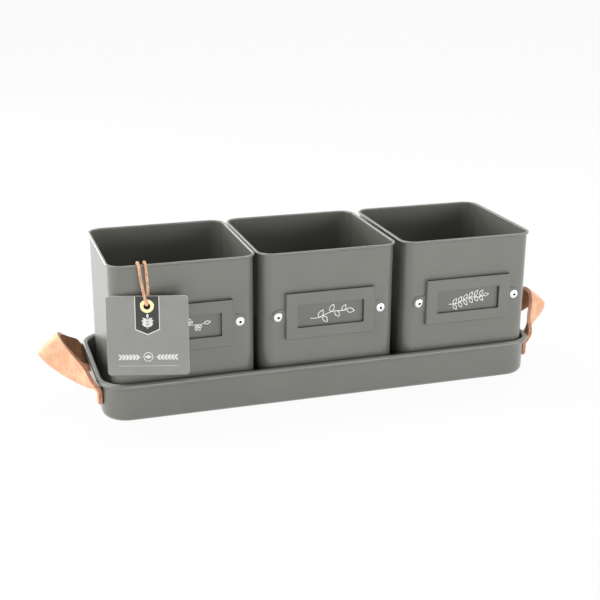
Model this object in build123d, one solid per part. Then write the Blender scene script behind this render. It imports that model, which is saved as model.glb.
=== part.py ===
from build123d import *
import math
import os

# Three square steel pots stand in a shallow steel tray with a rolled rim.
# X runs along the tray, the pots' label sides face -Y, and Z = 0 is the tray's underside.

# Tray, whose wall stands clear of the pots
TRAY_END_CLEARANCE = 4.0
TRAY_SIDE_CLEARANCE = 2.3
TRAY_CORNER = 20.0
TRAY_BASE_RADIUS = 5.0
TRAY_HEIGHT = 31.5
TRAY_SHEET = 1.0
TRAY_ROLL = 4.6
TRAY_ROLL_TURN = 310.0

# Pots, outside sizes of their wall
POT_WIDTH = 109.6
POT_HEIGHT = 120.7
POT_CORNER = 11.0
POT_BASE_RADIUS = 5.0
POT_SHEET = 0.8
POT_BEAD = 2.2
GAP_LEFT = 1.0
GAP_RIGHT = 3.8

# Label holder, a pressed frame riveted to the flat of the pot's front wall
RIVET_TO_POT_CORNER = 2.1
RIVET_TO_HOLDER = 5.7
HOLDER_HEIGHT = 37.0
HOLDER_DEPTH = 3.6
HOLDER_SHEET = 0.8
HOLDER_BEND = 1.2
HOLDER_CENTRE_HEIGHT = 70.0
WINDOW_SIDE = 9.0
WINDOW_HEIGHT = 18.8
WINDOW_CORNER = 0.8
EAR_PAST_RIVET = 4.8
EAR_HEIGHT = 11.0
EAR_FLARE = 2.5

# Label plate, which slides down into the holder's open top
PLATE_HEIGHT = 33.5
PLATE_SHEET = 1.0
PLATE_CORNER = 1.5
PLATE_CLEARANCE = 0.3
PLATE_SIDE_CLEARANCE = 1.2

# Blind rivets of the label holder
RIVET_SHANK = 3.2
RIVET_HEAD = 6.6
RIVET_HEAD_HEIGHT = 1.3
RIVET_BORE = 1.9
RIVET_BULB = 4.8
RIVET_BULB_LENGTH = 2.4
RIVET_CLEARANCE = 0.05

# Leather strap handles
STRAP_WIDTH = 21.0
STRAP_THICKNESS = 3.0
STRAP_RISE = 21.0
STRAP_REACH = 40.1
STRAP_TAB_LENGTH = 10.5
STRAP_TAB_RADIUS = 4.0
STRAP_FOLD_BELOW_ROLL = 8.2
STRAP_FOLD_SLANT = 5.0
STRAP_RIM_GAP = 0.4

# Tubular rivets and washers that hold the straps
STRAP_RIVET_SHANK = 4.0
STRAP_RIVET_HEAD = 7.0
STRAP_RIVET_HEAD_HEIGHT = 1.4
STRAP_RIVET_TAIL = 5.6
STRAP_RIVET_TAIL_HEIGHT = 1.0
STRAP_RIVET_ABOVE_TAB = 4.3
STRAP_RIVET_TO_TRAY_CORNER = 4.1
WASHER_DIAMETER = 8.0
WASHER_THICKNESS = 0.8

# Hang tag, a square card with a metal eyelet, turned a little towards the left
TAG_SIDE = 59.4
TAG_THICKNESS = 1.2
TAG_CORNER = 3.0
TAG_CENTRE = (-30.0, -9.6, 69.4)
TAG_YAW = -15.1
TAG_PITCH = -5.3
EYELET_ABOVE_CENTRE = 22.2
EYELET_OUTSIDE = 10.0
EYELET_BORE = 5.0
EYELET_BARREL = 6.2
EYELET_FLANGE = 0.5

# Cord of the hang tag
CORD_DIAMETER = 2.4
KNOT_DIAMETER = 7.0
KNOT_HEIGHT = 7.5
KNOT_FLAT = 5.4

# Each cut runs this far past the face that it leaves
OVERRUN = 2.0

# Places that follow from the sizes above
roll_radius = TRAY_ROLL / 2
roll_offset = roll_radius - TRAY_SHEET
roll_height = TRAY_HEIGHT - roll_radius
bead_radius = POT_BEAD / 2
bead_offset = bead_radius - POT_SHEET
pot_wall = POT_WIDTH / 2
pot_floor = TRAY_SHEET
pot_rim_half = pot_wall + bead_offset + bead_radius
bead_height = pot_floor + POT_HEIGHT - bead_radius
pot_places = {
    "left": -(2 * pot_rim_half + GAP_LEFT),
    "middle": 0.0,
    "right": 2 * pot_rim_half + GAP_RIGHT,
}
label_height = pot_floor + HOLDER_CENTRE_HEIGHT
rivet_spacing = POT_WIDTH - 2 * (POT_CORNER + RIVET_TO_POT_CORNER)
holder_width = rivet_spacing - 2 * RIVET_TO_HOLDER
tray_wall = pot_places["right"] + pot_wall + TRAY_END_CLEARANCE + TRAY_SHEET
tray_width = POT_WIDTH + 2 * (TRAY_SIDE_CLEARANCE + TRAY_SHEET)
strap_rivet_beside = tray_width / 2 - TRAY_CORNER - STRAP_RIVET_TO_TRAY_CORNER
strap_outer = strap_rivet_beside + STRAP_WIDTH / 2
strap_inner = strap_rivet_beside - STRAP_WIDTH / 2
strap_fold_outer = roll_height - STRAP_FOLD_BELOW_ROLL
strap_fold_inner = strap_fold_outer - STRAP_FOLD_SLANT
strap_tab_bottom = strap_fold_outer - STRAP_TAB_LENGTH
strap_rivet_height = strap_tab_bottom + STRAP_RIVET_ABOVE_TAB
strap_top = TRAY_HEIGHT + STRAP_RISE


def rounded_block(length, width, corner, base_radius, bottom, top):
    """A block with round upright corners and a round lower edge."""
    block = extrude(RectangleRounded(length, width, corner), top - bottom)
    block = fillet(block.edges().group_by(Axis.Z)[0], base_radius)
    return Pos(0, 0, bottom) * block


def rim_path(length, width, corner, height):
    """The closed line that a rim follows round a pan."""
    return Pos(0, 0, height) * RectangleRounded(length, width, corner).wire()


def along_rim(section, path):
    """Sweeps a section, drawn with its X outwards and its Y up, round a rim."""
    start, along = path @ 0, path % 0
    outward = Vector(along.Y, -along.X, 0)
    if outward.dot(Vector(start.X, start.Y, 0)) < 0:
        outward = outward * -1
    place = Plane(origin=start, x_dir=outward, z_dir=outward.cross(Vector(0, 0, 1)))
    return sweep(place * section, path)


def curl_section(radius, sheet, turn):
    """The rolled edge of a sheet, from the top of the wall out, down and back under."""
    start = 180
    outer = CenterArc((0, 0), radius, start, -turn)
    inner = CenterArc((0, 0), radius - sheet, start, -turn)
    ends = [Line(outer @ 0, inner @ 0), Line(outer @ 1, inner @ 1)]
    return make_face([outer, inner] + ends)


def tray():
    """The tray: a pressed pan whose rim is rolled outwards."""
    length = 2 * tray_wall
    outside = rounded_block(length, tray_width, TRAY_CORNER, TRAY_BASE_RADIUS, 0, roll_height)
    inside = rounded_block(
        length - 2 * TRAY_SHEET,
        tray_width - 2 * TRAY_SHEET,
        TRAY_CORNER - TRAY_SHEET,
        TRAY_BASE_RADIUS - TRAY_SHEET,
        TRAY_SHEET,
        TRAY_HEIGHT + OVERRUN,
    )
    path = rim_path(
        length + 2 * roll_offset,
        tray_width + 2 * roll_offset,
        TRAY_CORNER + roll_offset,
        roll_height,
    )
    curl = along_rim(curl_section(roll_radius, TRAY_SHEET, TRAY_ROLL_TURN), path)
    pan = outside - inside + curl
    for side in (-1, 1):
        for end in (-1, 1):
            pan -= strap_rivet_hole(side, end)
    return pan


def pot():
    """One pot at the middle place: a square pan with a tight bead round its rim."""
    outside = rounded_block(
        POT_WIDTH, POT_WIDTH, POT_CORNER, POT_BASE_RADIUS, pot_floor, bead_height
    )
    inside_width = POT_WIDTH - 2 * POT_SHEET
    inside = rounded_block(
        inside_width,
        inside_width,
        POT_CORNER - POT_SHEET,
        POT_BASE_RADIUS - POT_SHEET,
        pot_floor + POT_SHEET,
        bead_height + OVERRUN,
    )
    path_width = POT_WIDTH + 2 * bead_offset
    path = rim_path(path_width, path_width, POT_CORNER + bead_offset, bead_height)
    bead = along_rim(Circle(bead_radius), path)
    body = outside - inside + bead
    for side in (-1, 1):
        body -= on_pot_front(side * rivet_spacing / 2) * rivet_hole()
    return body


def on_pot_front(beside):
    """A place on the pot's front wall, Z outwards, beside the label's middle."""
    return Plane(origin=(beside, -pot_wall, label_height), x_dir=(1, 0, 0), z_dir=(0, -1, 0)).location


def rivet_hole():
    depth = POT_SHEET + HOLDER_SHEET + 2 * OVERRUN
    return Cylinder(RIVET_SHANK / 2, depth)


def label_holder():
    """The pressed frame: front with a window, folded sides and bottom, open top, two ears."""
    box = extrude(Rectangle(holder_width, HOLDER_HEIGHT), HOLDER_DEPTH)
    front = box.faces().sort_by(Axis.Z)[-1]
    bends = front.edges().sort_by(Axis.Y)[:-1]
    corners = box.edges().filter_by(Axis.Z).sort_by(Axis.Y)[:2]
    box = fillet(bends + corners, HOLDER_BEND)
    pocket = Box(
        holder_width - 2 * HOLDER_SHEET,
        HOLDER_HEIGHT + OVERRUN,
        HOLDER_DEPTH - HOLDER_SHEET + OVERRUN,
        align=(Align.CENTER, Align.MIN, Align.MIN),
    )
    pocket = Pos(0, HOLDER_SHEET - HOLDER_HEIGHT / 2, -OVERRUN) * pocket
    window_width = holder_width - 2 * WINDOW_SIDE
    window = extrude(
        RectangleRounded(window_width, WINDOW_HEIGHT, WINDOW_CORNER), HOLDER_DEPTH + OVERRUN
    )
    ears = SlotOverall(rivet_spacing + 2 * EAR_PAST_RIVET, EAR_HEIGHT)
    outline = Rectangle(holder_width, HOLDER_HEIGHT) + ears
    inner_corners = [
        v
        for v in outline.vertices()
        if abs(v.Y) < HOLDER_HEIGHT / 2 - HOLDER_BEND and abs(v.X) < holder_width / 2 + HOLDER_BEND
    ]
    flange = extrude(fillet(inner_corners, EAR_FLARE), HOLDER_SHEET)
    flange -= Box(holder_width - HOLDER_SHEET, HOLDER_HEIGHT + OVERRUN, HOLDER_HEIGHT)
    frame = box + flange - pocket - window
    for side in (-1, 1):
        frame -= Pos(side * rivet_spacing / 2, 0, 0) * rivet_hole()
    return on_pot_front(0) * frame


def label_plate():
    """The flat plate behind the window, standing on the holder's folded bottom."""
    middle = HOLDER_SHEET + PLATE_CLEARANCE + PLATE_HEIGHT / 2 - HOLDER_HEIGHT / 2
    width = holder_width - 2 * (HOLDER_SHEET + PLATE_SIDE_CLEARANCE)
    plate = extrude(RectangleRounded(width, PLATE_HEIGHT, PLATE_CORNER), PLATE_SHEET)
    return on_pot_front(0) * Pos(0, middle, PLATE_CLEARANCE) * plate


def crown_lines(width, height, base, way):
    """Half the outline of a crowned head whose flat side lies at the base."""
    edge = base + way * height / 3
    top = base + way * height
    side = Line((width / 2, base), (width / 2, edge))
    return [side, TangentArc((0, top), (width / 2, edge), tangent=(1, 0))]


def turned(section):
    """A round solid from half a section drawn with X outwards and Y along the axis."""
    upright = Plane(origin=(0, 0, 0), x_dir=(1, 0, 0), z_dir=(0, -1, 0))
    return revolve(upright * section, Axis.Z)


def holder_rivet():
    """A blind rivet: a crowned head with the mandrel's bore, a shank and the bulb inside."""
    crown = crown_lines(RIVET_HEAD, RIVET_HEAD_HEIGHT, HOLDER_SHEET, 1)
    base = Polyline((RIVET_HEAD / 2, HOLDER_SHEET), (0, HOLDER_SHEET), crown[-1] @ 0)
    head = turned(make_face(crown + [base]))
    grip = HOLDER_SHEET + POT_SHEET
    low = (Align.CENTER, Align.CENTER, Align.MIN)
    shank = Pos(0, 0, -POT_SHEET) * Cylinder(
        RIVET_SHANK / 2 - RIVET_CLEARANCE, grip, align=low
    )
    bulb = Cylinder(RIVET_BULB / 2, RIVET_BULB_LENGTH, align=low)
    bulb = fillet(bulb.edges().group_by(Axis.Z)[0], RIVET_BULB_LENGTH / 3)
    bulb = Pos(0, 0, -POT_SHEET - RIVET_BULB_LENGTH) * bulb
    bore = Pos(0, 0, -POT_SHEET) * Cylinder(RIVET_BORE / 2, grip + RIVET_HEAD, align=low)
    return head + shank + bulb - bore


def holder_rivets():
    return [
        on_pot_front(side * rivet_spacing / 2) * holder_rivet() for side in (-1, 1)
    ]


# Half of each strap edge, from the tab to the loop's middle, in shares: of the reach from the
# wall, of the tab's distance from the middle, and of the rise to the loop's top
upper_edge_shares = [(0.21, 0.78, 0.324), (0.374, 0.505, 0.617), (0.606, 0, 1)]
lower_edge_shares = [
    (0.10, 1.0, 0.087),
    (0.23, 0.928, 0.137),
    (0.41, 0.72, 0.209),
    (0.673, 0.447, 0.364),
    (1, 0, 0.641),
]


def strap_edge(start, base, shares):
    """Half an edge of the strap, from its tab up to the loop's middle."""
    beside = start[0][1]
    rise = strap_top - base
    points = start + [
        (tray_wall + x * STRAP_REACH, y * beside, base + z * rise) for x, y, z in shares
    ]
    return Spline(*points, tangents=((0, 0, 1), (0, 1, 0)), tangent_scalars=(1, 1)).edge()


def strap_rivet_hole(side, end):
    hole = Cylinder(STRAP_RIVET_SHANK / 2, 2 * (STRAP_THICKNESS + TRAY_SHEET + OVERRUN))
    place = (end * tray_wall, side * strap_rivet_beside, strap_rivet_height)
    return Pos(place) * Rot(0, 90, 0) * hole


def strap_loop_skin():
    """Half of the loop's inner face, from the top of the tab to the loop's middle."""
    over_rim = TRAY_ROLL - TRAY_SHEET + STRAP_RIM_GAP
    fold = (tray_wall, -strap_outer, strap_fold_outer)
    beside_roll = (tray_wall + over_rim, -strap_outer, roll_height)
    upper = strap_edge([fold, beside_roll], roll_height, upper_edge_shares)
    fold = (tray_wall, -strap_inner, strap_fold_inner)
    lower = strap_edge([fold], strap_fold_inner, lower_edge_shares)
    return Face.make_surface_from_curves(upper, lower)


def strap_tab_skin():
    """The tab's inner face, flat on the wall, with round lower corners."""
    corners = [
        (-strap_outer, strap_fold_outer),
        (-strap_outer, strap_tab_bottom),
        (-strap_inner, strap_tab_bottom),
        (-strap_inner, strap_fold_inner),
    ]
    outline = make_face(Polyline(*corners, close=True))
    outline = fillet(outline.vertices().group_by(Axis.Y)[0], STRAP_TAB_RADIUS)
    wall = Plane(origin=(tray_wall, 0, 0), x_dir=(0, 1, 0), z_dir=(1, 0, 0))
    return (wall * outline).faces()[0]


def strap_right():
    """One leather strip: a flat tab on the wall at each end and a flared loop between them."""
    skin = Shell([strap_tab_skin(), strap_loop_skin()])
    half = Solid.thicken(skin, STRAP_THICKNESS, normal_override=(1, 0, 0))
    strap = half + mirror(half, about=Plane.XZ)
    for side in (-1, 1):
        strap -= strap_rivet_hole(side, 1)
    return strap


def on_strap_rivet(side):
    """The place of a strap rivet on the tray's right wall, Z outwards."""
    return Plane(
        origin=(tray_wall, side * strap_rivet_beside, strap_rivet_height),
        x_dir=(0, 1, 0),
        z_dir=(1, 0, 0),
    ).location


def strap_rivet():
    """A crowned head on the leather, a shank and a tail clenched over the washer."""
    inside = TRAY_SHEET + WASHER_THICKNESS
    shank = STRAP_RIVET_SHANK / 2 - RIVET_CLEARANCE
    head_line = crown_lines(STRAP_RIVET_HEAD, STRAP_RIVET_HEAD_HEIGHT, STRAP_THICKNESS, 1)
    tail_line = crown_lines(STRAP_RIVET_TAIL, STRAP_RIVET_TAIL_HEIGHT, -inside, -1)
    shank_line = Polyline(
        (STRAP_RIVET_HEAD / 2, STRAP_THICKNESS),
        (shank, STRAP_THICKNESS),
        (shank, -inside),
        (STRAP_RIVET_TAIL / 2, -inside),
    )
    axis = Line(head_line[-1] @ 0, tail_line[-1] @ 0)
    return turned(make_face(head_line + tail_line + [shank_line, axis]))


def strap_rivets():
    return [on_strap_rivet(side) * strap_rivet() for side in (-1, 1)]


def rivet_washers():
    ring = Cylinder(WASHER_DIAMETER / 2, WASHER_THICKNESS) - Cylinder(
        STRAP_RIVET_SHANK / 2, WASHER_THICKNESS
    )
    inwards = Pos(0, 0, -TRAY_SHEET - WASHER_THICKNESS / 2)
    return [on_strap_rivet(side) * inwards * ring for side in (-1, 1)]


def mirrored(solids):
    """The same solids at the tray's other end."""
    return [mirror(solid, about=Plane.YZ) for solid in solids]


# The tag's own plane: X to the right along the card, Y up it, Z towards the viewer
tag_place = Pos(
    pot_places["left"] + TAG_CENTRE[0], TAG_CENTRE[1] - pot_wall, pot_floor + TAG_CENTRE[2]
) * Rot(0, 0, TAG_YAW) * Rot(TAG_PITCH, 0, 0) * Rot(90, 0, 0)
eyelet_place = tag_place * Pos(0, EYELET_ABOVE_CENTRE, 0)


def hang_tag():
    """The square card with round corners and a punched hole."""
    card = extrude(RectangleRounded(TAG_SIDE, TAG_SIDE, TAG_CORNER), TAG_THICKNESS / 2, both=True)
    hole = Pos(0, EYELET_ABOVE_CENTRE, 0) * Cylinder(
        EYELET_BARREL / 2 + RIVET_CLEARANCE, TAG_THICKNESS + OVERRUN
    )
    return tag_place * (card - hole)


def tag_eyelet():
    """The metal eyelet: a barrel through the card with a flange on each side."""
    barrel = Cylinder(EYELET_BARREL / 2, TAG_THICKNESS)
    flange = Cylinder(EYELET_OUTSIDE / 2, EYELET_FLANGE)
    flange = fillet(flange.edges().group_by(Axis.Z)[-1], EYELET_FLANGE / 2)
    lift = TAG_THICKNESS / 2 + EYELET_FLANGE / 2
    ring = barrel + Pos(0, 0, lift) * flange + Pos(0, 0, -lift) * Rot(180, 0, 0) * flange
    bore = Cylinder(EYELET_BORE / 2, TAG_THICKNESS + 2 * EYELET_FLANGE + OVERRUN)
    return eyelet_place * (ring - bore)


# The cord's route, from the knot inside the left pot over the rim, through the eyelet and back
cord_points = [
    (-146.4, -50.2, 99.0),
    (-146.4, -50.2, 105.0),
    (-147.0, -51.8, 113.5),
    (-147.3, -52.3, 123.4),
    (-147.2, -58.0, 123.4),
    (-146.7, -60.2, 114.0),
    (-145.4, -64.2, 104.0),
    (-143.7, -65.4, 93.7),
    (-142.1, -59.2, 93.1),
    (-140.8, -57.9, 103.0),
    (-141.6, -57.6, 113.0),
    (-142.2, -58.0, 123.4),
    (-142.3, -52.3, 123.4),
    (-142.6, -51.8, 113.5),
    (-143.8, -50.2, 105.0),
    (-143.8, -50.2, 99.0),
]


def cord_radii(points):
    """The largest arc that each corner's two runs allow."""
    radii = []
    for before, corner, after in zip(points, points[1:], points[2:]):
        arriving = Vector(*corner) - Vector(*before)
        leaving = Vector(*after) - Vector(*corner)
        half_turn = math.radians(arriving.get_angle(leaving)) / 2
        radii.append(0.45 * min(arriving.length, leaving.length) / math.tan(half_turn))
    return radii


def tag_cord():
    """The cord as a round tube along straight runs and tangent arcs."""
    radii = cord_radii(cord_points)
    print("cord radii", [round(radius, 1) for radius in radii])
    path = FilletPolyline(*cord_points, radius=radii)
    return sweep(Plane(origin=path @ 0, z_dir=path % 0) * Circle(CORD_DIAMETER / 2), path)


def cord_knot():
    """The knot that joins the cord's two ends, flat where they leave it."""
    first, last = Vector(*cord_points[0]), Vector(*cord_points[-1])
    widest = (KNOT_DIAMETER / 2, -KNOT_HEIGHT / 2)
    side = ThreePointArc((KNOT_FLAT / 2, 0), widest, (KNOT_FLAT / 2, -KNOT_HEIGHT))
    top = Line((0, 0), (KNOT_FLAT / 2, 0))
    bottom = Line((0, -KNOT_HEIGHT), (KNOT_FLAT / 2, -KNOT_HEIGHT))
    axis = Line((0, 0), (0, -KNOT_HEIGHT))
    return Pos((first + last) / 2) * turned(make_face([top, side, bottom, axis]))


def write(name, *solids):
    shape = solids[0] if len(solids) == 1 else Compound(children=[Part() + s for s in solids])
    export_step(shape, f"parts/{name}.step")


def main():
    os.makedirs("parts", exist_ok=True)
    write("tray", tray())
    right = strap_right()
    write("strap_right", right)
    write("strap_left", mirror(right, about=Plane.YZ))
    write("strap_rivets_right", *strap_rivets())
    write("strap_rivets_left", *mirrored(strap_rivets()))
    write("rivet_washers_right", *rivet_washers())
    write("rivet_washers_left", *mirrored(rivet_washers()))
    for name, place in pot_places.items():
        write(f"pot_{name}", Pos(place, 0, 0) * pot())
        write(f"label_holder_{name}", Pos(place, 0, 0) * label_holder())
        write(f"label_plate_{name}", Pos(place, 0, 0) * label_plate())
        write(f"holder_rivets_{name}", *[Pos(place, 0, 0) * r for r in holder_rivets()])
    write("hang_tag", hang_tag())
    write("tag_eyelet", tag_eyelet())
    write("tag_cord", tag_cord())
    write("cord_knot", cord_knot())


main()
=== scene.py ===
import math

import bmesh
import bpy
import numpy as np
from bpy.props import FloatProperty, FloatVectorProperty, IntProperty, PointerProperty
from bpy.types import Operator, Panel, PropertyGroup
from mathutils import Matrix, Vector


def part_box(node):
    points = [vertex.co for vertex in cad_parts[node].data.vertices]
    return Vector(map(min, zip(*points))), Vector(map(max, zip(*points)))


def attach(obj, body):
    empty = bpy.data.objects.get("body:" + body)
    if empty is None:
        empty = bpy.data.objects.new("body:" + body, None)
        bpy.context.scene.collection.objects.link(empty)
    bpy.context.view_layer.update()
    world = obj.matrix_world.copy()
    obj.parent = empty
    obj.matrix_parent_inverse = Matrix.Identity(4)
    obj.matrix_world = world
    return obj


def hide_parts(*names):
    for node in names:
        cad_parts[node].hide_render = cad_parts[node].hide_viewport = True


bl_info = {
    "name": "Herb planter",
    "version": (1, 0, 0),
    "blender": (4, 5, 0),
    "location": "View3D > Sidebar > Herb planter",
    "description": "Dresses three steel herb pots in a tray with leather straps and a hang tag",
    "category": "Object",
}

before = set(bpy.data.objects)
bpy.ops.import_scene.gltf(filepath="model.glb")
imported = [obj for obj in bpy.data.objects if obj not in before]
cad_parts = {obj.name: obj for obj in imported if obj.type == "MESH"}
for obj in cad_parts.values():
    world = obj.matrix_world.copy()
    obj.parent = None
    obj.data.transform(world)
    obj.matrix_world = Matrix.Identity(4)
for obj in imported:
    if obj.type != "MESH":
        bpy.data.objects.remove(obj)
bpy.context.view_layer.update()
MM = 0.001
POTS = ("left", "middle", "right")
ENDS = ("left", "right")

# Vertices nearer to each other than MERGE become one, and a place within NEAR counts as reached
MERGE = 0.001 * MM
NEAR = 0.1 * MM

# Material slots of a piece with two broad sides and a cut edge. With KEEP_SLOT, the faces that a
# bevel makes take their neighbours' slot
FRONT, BACK, SIDE = 0, 1, 2
KEEP_SLOT = -1

# Sockets of the Mix node when it mixes colours
MIX_A, MIX_B, MIX_COLOUR = 6, 7, 2

# Mottling: the values that its noise mostly keeps between, and the share of the fine grain
NOISE_LOW, NOISE_HIGH = 0.41, 0.59
GRAIN_SHARE = 0.3

# Waves of a relief's slower swell for each of its dimples
SWELL_WAVES = 0.2

# Leather straps. The edges are those of the right strap's inner face, in millimetres from the tab to
# the loop's middle, as in the solid
STRAP_THICKNESS = 3.0 * MM
STRAP_TAB_BOTTOM = 10.5 * MM
STRAP_TAB_RADIUS = 4.0 * MM
STRAP_UPPER_EDGE = [
    (176.0, -44.5, 21.0),
    (180.0, -44.5, 29.2),
    (184.42, -34.71, 36.75),
    (191.0, -22.47, 43.58),
    (200.3, 0.0, 52.5),
]
STRAP_LOWER_EDGE = [
    (176.0, -23.5, 16.0),
    (180.01, -23.59, 19.16),
    (185.22, -21.81, 21.0),
    (192.44, -16.91, 23.63),
    (202.99, -10.5, 29.3),
    (216.1, 0.0, 39.38),
]

# Hang tag: its middle in millimetres, its turn and tilt, its card and the eyelet in it
TAG_CENTRE = (-143.4, -64.4, 70.4)
TAG_YAW = math.radians(-15.1)
TAG_PITCH = math.radians(-5.3)
TAG_THICKNESS = 1.2 * MM
TAG_FRONT = TAG_THICKNESS / 2
TAG_CORNER = 2.5 * MM
# The pale core colour covers these rounded rims: partly the card's white core, partly a painted
# highlight along the card's edges
TAG_EDGE_ROUND = 0.35 * MM
EYELET_ABOVE_CENTRE = 22.2 * MM
EYELET_HOLE = 6.3 * MM
EYELET_OUTSIDE = 10.0 * MM
EYELET_OVERLAP = 0.6 * MM

# Print on the card. Its places are in millimetres about the card's middle, each leaf of the
# pennant's sprig has a level and a length, and leaves lean by degrees from upright
INK_RELIEF = 0.05 * MM
PENNANT_TOP = 29.4
PENNANT_SLOPE = 0.44
PENNANT_RIM_THICKNESS = 0.04 * MM
PENNANT_THICKNESS = 0.07 * MM
PENNANT_LEAVES = ((6.6, 5.0), (8.8, 5.2), (11.0, 4.4))
PENNANT_LEAN = 55
GARLAND_LEVEL = -16
GARLAND_LEAVES = 6
GARLAND_START = 6.5
GARLAND_STEP = 2.5
GARLAND_LEAN = 52
RING_RADIUS = 3.4
RING_POINTS = 10
DOTS = 31
DOT_PITCH = 1.4
DOT_LEVEL = -22.8
DOT_RADIUS = 0.32 * MM
DOT_FLATNESS = 0.2

# Cord of the tag, from the knot inside the left pot over the rim, through the eyelet and back
CORD_ROUTE = [
    (-146.4, -50.2, 99.0),
    (-146.4, -50.2, 105.0),
    (-147.0, -51.8, 113.5),
    (-147.3, -52.3, 123.4),
    (-147.2, -58.0, 123.4),
    (-146.7, -60.2, 114.0),
    (-145.4, -64.2, 104.0),
    (-143.7, -65.4, 93.7),
    (-142.1, -59.2, 93.1),
    (-140.8, -57.9, 103.0),
    (-141.6, -57.6, 113.0),
    (-142.2, -58.0, 123.4),
    (-142.3, -52.3, 123.4),
    (-142.6, -51.8, 113.5),
    (-143.8, -50.2, 105.0),
    (-143.8, -50.2, 99.0),
]

# Knot of the cord: its height, its trefoil's scale along X, Y and Z in millimetres, and its steps
KNOT_HEIGHT = 7.5 * MM
KNOT_SIZE = (0.75, 1.1, 0.85)
KNOT_STEPS = 96

# Thickness of a strand against three that only touch, so that they press into each other
STRAND_OVERLAP = 1.04

# Sprigs drawn on the label plates, in millimetres about each label's middle before they are scaled.
# A leaf has its place, its turn in degrees, its length and its width, and LEAF_SHAPE is the outline
# of one that is one long and one wide. ENAMEL_LIFT is from the plate to the middle of the lines
SPRIG_SCALE = 1.15
ENAMEL_RELIEF = 0.08 * MM
ENAMEL_LIFT = 0.03 * MM
LEAF_SHAPE = [
    (0, 0), (0.3, 0.42), (0.62, 0.42), (0.97, 0.02), (0.97, -0.02), (0.62, -0.42), (0.3, -0.42),
]
SPRIG_STEM = [(-14, -2.6), (-9, -3.4), (-3, -0.6), (3, 1.2), (9, 0.2), (12.5, 1.4)]
SPRIG_LEAVES = {
    "left": [
        (x, y, turn + spread, length, 2.3)
        for x, y, turn in ((-7.5, -2.9, 70), (-2.5, -0.5, -64), (1.5, 0.9, 72), (7, 0.6, -60))
        for spread, length in ((-34, 3.9), (0, 4.8), (34, 3.9))
    ] + [(12, 1.3, 10, 4.6, 2.4)],
    "middle": [
        (x, y, turn, length, length * 0.62)
        for x, y, turn, length in (
            (-8, -3, 62, 6.2), (-5, -1.8, -58, 5.6), (0, 0.4, 66, 6.0),
            (3.4, 1.2, -56, 5.6), (8.5, 0.4, 58, 5.0), (11.5, 0.9, -12, 6.0),
        )
    ],
    "right": [
        (-10.5 + 20 * share, -3.1 + 4.6 * min(1.0, share * 1.35), turn, 4.8, 2.6)
        for share in (0.0, 0.2, 0.4, 0.6, 0.8, 1.0)
        for turn in (62, -56)
    ] + [(12.2, 1.4, 12, 4.2, 2.4)],
}

# Blind rivets of the label holders: the diameters of the head and of the bore, and the near black
# painted inside the bore as painted shade
RIVET_HEAD = 6.6 * MM
RIVET_BORE = 2.1 * MM
PAINTED_BORE_SHADE = (0.012, 0.012, 0.012, 1)

# Camera of the photograph
CAMERA_PLACE = (-0.2753, -0.8344, 0.3600)
CAMERA_TURN = math.radians(-17.86)
CAMERA_DOWN = math.radians(18.68)
CAMERA_ROLL = 0.007

# Studio: the white seen past the object, brighter in reflections, and the floor, which keeps a
# share of real shading and lies just below the object
WHITE = (1, 1, 1, 1)
MIRRORED_WHITE = 1.3
FLOOR_COLOUR = (0.9, 0.9, 0.9, 1)
FLOOR_SHADING = 0.05
FLOOR_HALF = 9.0
FLOOR_DROP = 0.2 * MM

# Lamps: name, place, width and height, all pointing at the target
LAMP_TARGET = (0, 0, 0.05)
LAMPS = (
    ("top", (0.1, 0.45, 1.25), 1.8, 0.2),
    ("front", (0.3, -1.7, 0.22), 1.8, 0.36),
    ("left", (-1.5, -0.1, 0.38), 0.9, 0.6),
    ("back", (-0.9, 1.1, 0.32), 1.0, 0.6),
    ("right", (1.3, -1.0, 0.45), 0.8, 0.7),
)


def colour_setting(name, description, default):
    """An opaque colour that the sidebar shows."""
    return FloatVectorProperty(
        name=name, description=description, subtype="COLOR", size=4, min=0, max=1,
        default=(*default, 1),
    )


def length_setting(name, description, default):
    """A length that the sidebar shows."""
    return FloatProperty(name=name, description=description, default=default, unit="LENGTH")


def strength_setting(name, description, default):
    """The strength of a light that the sidebar shows."""
    return FloatProperty(name=name, description=description, default=default, min=0)


class PaintSettings(PropertyGroup):
    """The powder-coated steel of the tray, the pots and the label holders."""

    colour: colour_setting("Paint colour", "Charcoal paint", (0.152, 0.155, 0.135))
    plate_colour: colour_setting(
        "Plate colour", "Paint of the label plates", (0.124, 0.126, 0.111)
    )
    roughness: FloatProperty(
        name="Roughness", description="How matt the paint is", default=0.30, min=0, max=1,
        subtype="FACTOR",
    )
    peel_size: length_setting("Peel size", "Width of the paint's orange-peel dimples", 1.1 * MM)


class LeatherSettings(PropertyGroup):
    """The leather of the strap handles."""

    grain_colour: colour_setting("Grain colour", "Smooth outer side", (0.90, 0.59, 0.37))
    flush_colour: colour_setting(
        "Flush colour", "Warmer patches of the outer side", (0.86, 0.43, 0.27)
    )
    flesh_colour: colour_setting("Flesh colour", "Rough inner side", (0.34, 0.17, 0.09))
    edge_colour: colour_setting("Edge colour", "Burnished cut edge", (0.42, 0.20, 0.12))
    edge_round: length_setting("Edge round", "Radius of the burnished edges", 0.5 * MM)
    crown: length_setting("Crown", "How far the strap bulges between its edges", 0.5 * MM)
    rows: IntProperty(
        name="Rows", description="Rows of faces along half a strap's loop", default=40, min=8,
    )


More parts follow.
